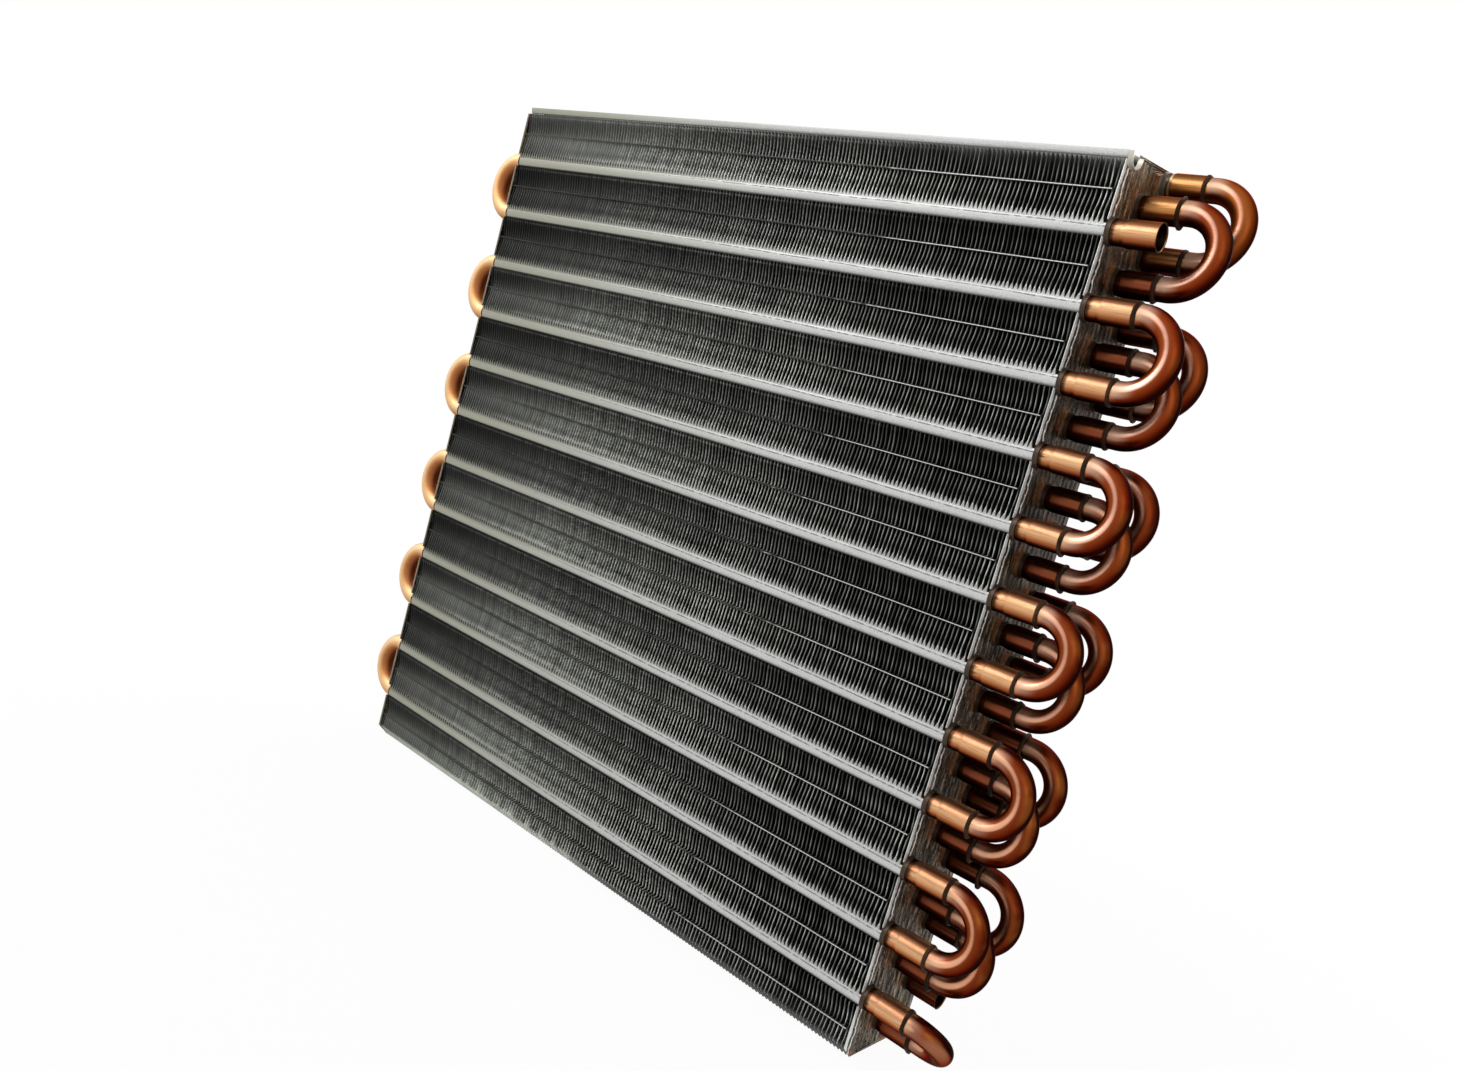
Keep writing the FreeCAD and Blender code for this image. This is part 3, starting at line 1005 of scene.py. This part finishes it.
print("front strips")
sections = [stripSection(tube, strip["low"], strip["high"]) for tube in frontTubes]
sections.append(stripSection((frontRow, frontTop), strip["low"], 0))
stripMesh = heldStill(joinedMesh("oneStrip", sections))
settings = {**bending, "Count": innerFins, "First X": firstFin + finPitch * 1.5}
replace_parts(repeated("front_strips", stripMesh, settings, stripMetal), "fin_stack")

# Teeth: where each fin's edge is drawn out into the strip below it
tooth = {
    "width": 0.84,              # at its foot and at its tip, as shares of the fin pitch
    "tip": 0.30,
    "foot": 1.05 * mm,          # height above the tube's middle
    "footProud": 0.1 * mm,
    "rise": 0.35 * mm,          # height above the strip
    "tipInset": 0.05 * mm,
    "spread": 1.4 * mm,         # how much the tips' heights differ
    "depth": 0.4 * mm,
    "sway": 0.8,                # how much of a fin's bend the tip follows
}


def toothShape(z):
    y = frontRow - math.sqrt(strip["radius"] ** 2 - tooth["foot"] ** 2)
    half = finPitch * tooth["width"] / 2
    tip = finPitch * tooth["tip"] / 2
    low, high = z + tooth["foot"], z + halfBand + tooth["rise"]
    near, far = y - tooth["footProud"], y + tooth["depth"]
    tipNear = frontY + tooth["tipInset"]
    tipFar = tipNear + tooth["depth"]
    points = [
        (-half, near, low), (half, near, low), (half, far, low), (-half, far, low),
        (-tip, tipNear, high), (tip, tipNear, high), (tip, tipFar, high), (-tip, tipFar, high),
    ]
    faces = [(0, 3, 2, 1), (4, 5, 6, 7), (0, 1, 5, 4), (1, 2, 6, 5), (2, 3, 7, 6), (3, 0, 4, 7)]
    return points, faces


print("teeth")
teethMesh = joinedMesh("oneTooth", [toothShape(z) for y, z in frontTubes])
reach = [0.0, 0.0, 0.0, 0.0, 1.0, 1.0, 1.0, 1.0] * len(frontTubes)      # a foot stays, a tip moves
store(teethMesh, sway=[value * tooth["sway"] for value in reach], reach=reach)
settings = {**bending, "Lift": tooth["spread"], "Count": innerFins, "First X": firstFin + finPitch}
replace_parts(repeated("strip_teeth", teethMesh, settings, stripMetal), "fin_stack")

# Mid-pitch tabs: small lips that stand forward where the two set-back stretches meet
tab = {"width": 1.40 * mm, "height": 0.22 * mm, "depth": 0.35 * mm, "below": 0.10 * mm}


def tabFinish():
    finish = Finish("tabAluminium")
    dash = finish.grain(0.30, 0.0, 0.4, 2.0, 0.6)
    toRight = finish.smooth(finish.x, 0.0, 120.0)
    # painted light: the tabs are lit on the right and in shade on the left, broken into dashes between
    light = finish.smooth(toRight + (dash - 0.5) * (1.2 - toRight), 0.35, 0.62)
    finish.set(
        Base_Color=finish.mix(light, tint(0.012, 0.012, 0.011), tint(0.62, 0.62, 0.60)),
        Metallic=0.2,
        Roughness=0.45,
    )
    return finish.material


def boxShape(low, high):
    points = [(x, y, z) for x in (low[0], high[0]) for y in (low[1], high[1]) for z in (low[2], high[2])]
    faces = [(0, 1, 3, 2), (4, 6, 7, 5), (0, 4, 5, 1), (2, 3, 7, 6), (0, 2, 6, 4), (1, 5, 7, 3)]
    return points, faces


print("mid tabs")
halfTab = tab["height"] / 2
tabHeights = [coil["tubePitch"] * (n + 0.5) - tab["below"] for n in range(pitches)]
tabMesh = heldStill(joinedMesh("oneTab", [
    boxShape((-tab["width"], frontY, z - halfTab), (0, frontY + tab["depth"], z + halfTab))
    for z in tabHeights
]))
settings = {**bending, "Count": innerFins - 1, "First X": firstFin + finPitch * 2}
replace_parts(repeated("mid_tabs", tabMesh, settings, tabFinish()), "fin_stack")

# Braze: a dark uneven bead at each joint, with a run of filler hanging from some
bead = {
    "around": 40,
    "profile": [        # mm past the rim, and above the bend's tube
        (-0.15, 0.42), (0.0, 0.50), (0.3, 0.53), (0.6, 0.42), (0.85, 0.2), (1.0, -0.1), (-0.15, -0.1),
    ],
    "crest": 0.54,      # mm, the height that a run adds its whole swell to
    "run": 0.9 * mm,
    "below": [(-0.4, 0.4), (0.2, 1.0), (0.22, 0.4)],    # a run's turn, size and width, least and most
    "above": [(-0.6, 0.6), (0.0, 0.7), (0.2, 0.35)],
    "waves": 0.06 * mm,
    "wavyEdge": 0.14,
}


def randomRun(chance, side, ranges):
    turn, size, width = [chance.uniform(least, most) for least, most in ranges]
    return side * math.pi / 2 + turn, size, width


def beadShape(centre, chance, rim, shy):
    # a shy bead doesn't swell towards the front
    runs = [randomRun(chance, -1, bead["below"]), randomRun(chance, 1, bead["above"])]
    phase = [chance.uniform(0, 6.28) for _ in range(4)]
    points = []
    for n in range(bead["around"]):
        angle = 2 * math.pi * n / bead["around"]
        waves = sum(math.sin(angle * k + shift) / k for k, shift in enumerate(phase, 2))
        swell = bead["waves"] * waves
        for place, size, width in runs:
            gap = math.remainder(angle - place, 2 * math.pi)
            swell += bead["run"] * size * math.exp(-(gap / width) ** 2)
        if shy:
            swell = min(swell, bead["run"] * (1 - max(0.0, -math.cos(angle))))
        for past, height in bead["profile"]:
            raised = max(0.0, height) / bead["crest"]
            x = rim + past * mm * (1 + bead["wavyEdge"] * waves) + swell * (0.4 if past > 0 else -0.2)
            radius = coil["bendRadius"] + height * mm + swell * raised
            points.append((x, centre[0] + radius * math.cos(angle), centre[1] + radius * math.sin(angle)))
    return points, skin(bead["around"], len(bead["profile"]))


print("braze")
chance = random.Random(7)
for row, rim, tubes in (
    ("front", rimX, frontTubes[1:]), ("middle", innerRimX, middleTubes), ("rear", innerRimX, rearTubes[:-1]),
):
    mesh = joinedMesh(f"braze_{row}", [beadShape(tube, chance, rim, row == "front") for tube in tubes])
    for face in mesh.polygons:
        face.use_smooth = True
    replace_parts(addPiece(f"braze_{row}", mesh, braze), f"braze_fillets_{row}")

print("floor, light and camera")
studio = {
    "white": 1.0,
    "ambient": 0.50,
    "floorHalf": 3,
    "shadow": 0.05,                 # how much of the shadow the camera sees
    "floorFade": (200.0, 500.0),    # mm from the middle, where the shadow fades out
    "aim": (0.01, 0, 0.13),
    "lamps": [  # place, size, power
        ((-0.75, -1.0, 1.05), 0.8, 14.0),
        ((0.9, -0.7, 0.5), 0.6, 1.2),
        ((0.1, 1.0, 0.9), 0.9, 6.0),
    ],
}


def isSeen(tree):
    # 1 for camera, mirror and glass rays
    path = tree.tree.nodes.new("ShaderNodeLightPath")
    seen = Wire(tree, path.outputs["Is Camera Ray"]) + Wire(tree, path.outputs["Is Glossy Ray"])
    return (seen + Wire(tree, path.outputs["Is Transmission Ray"])).capped()


world = bpy.data.worlds.new("studio")
bpy.context.scene.world = world
world.use_nodes = True
sky = Tree(world.node_tree)
background = world.node_tree.nodes["Background"]
background.inputs["Color"].default_value = grey(1.0)
strength = isSeen(sky) * (studio["white"] - studio["ambient"]) + studio["ambient"]
sky.tree.links.new(strength.socket, background.inputs["Strength"])

half = studio["floorHalf"]
corners = [(-half, -half, 0), (half, -half, 0), (half, half, 0), (-half, half, 0)]
floorMesh = newMesh("floor", corners, [(0, 1, 2, 3)])
floor = bpy.data.objects.new("floor", floorMesh)
bpy.context.scene.collection.objects.link(floor)
paper = Finish("floorPaper")
paper.set(Base_Color=grey(0.9), Roughness=0.9)
glow = paper.add("ShaderNodeEmission", {}, {"Color": grey(1.0), "Strength": studio["white"]})
fromMiddle = (paper.x ** 2.0 + paper.y ** 2.0) ** 0.5
share = 1.0 - paper.fade(fromMiddle, *studio["floorFade"]) * studio["shadow"]
blend = paper.add(
    "ShaderNodeMixShader", {},
    {0: isSeen(paper) * share, 1: Wire(paper, paper.shader.outputs[0]), 2: glow},
)
paper.tree.links.new(blend.socket, paper.tree.nodes["Material Output"].inputs["Surface"])
floorMesh.materials.append(paper.material)

for number, (place, size, power) in enumerate(studio["lamps"], 1):
    lamp = bpy.data.lights.new(f"lamp_{number}", "AREA")
    lamp.size = size
    lamp.energy = power
    holder = bpy.data.objects.new(f"lamp_{number}", lamp)
    holder.location = place
    holder.rotation_euler = (Vector(studio["aim"]) - Vector(place)).to_track_quat("-Z", "Y").to_euler()
    bpy.context.scene.collection.objects.link(holder)

view = {
    "place": (0.2622, -0.3076, 0.1765),
    "aim": (0.02778, 0.0, 0.12524),
    "roll": 15.96,       # degrees that the camera is turned about its own axis
    "lens": 27.12,
    "sensor": 36,
    "shift": (-0.0072, 0.0235),
    "nearest": 0.01,
}
eye = bpy.data.cameras.new("camera")
eye.lens = view["lens"]
eye.sensor_width = view["sensor"]
eye.shift_x, eye.shift_y = view["shift"]
eye.clip_start = view["nearest"]
camera = bpy.data.objects.new("camera", eye)
bpy.context.scene.collection.objects.link(camera)
camera.location = view["place"]
look = (Vector(view["aim"]) - Vector(view["place"])).to_track_quat("-Z", "Y").to_matrix()
camera.rotation_euler = (look @ Matrix.Rotation(math.radians(view["roll"]), 3, "Z")).to_euler()
bpy.context.scene.camera = camera
bpy.context.scene.view_settings.view_transform = "Standard"
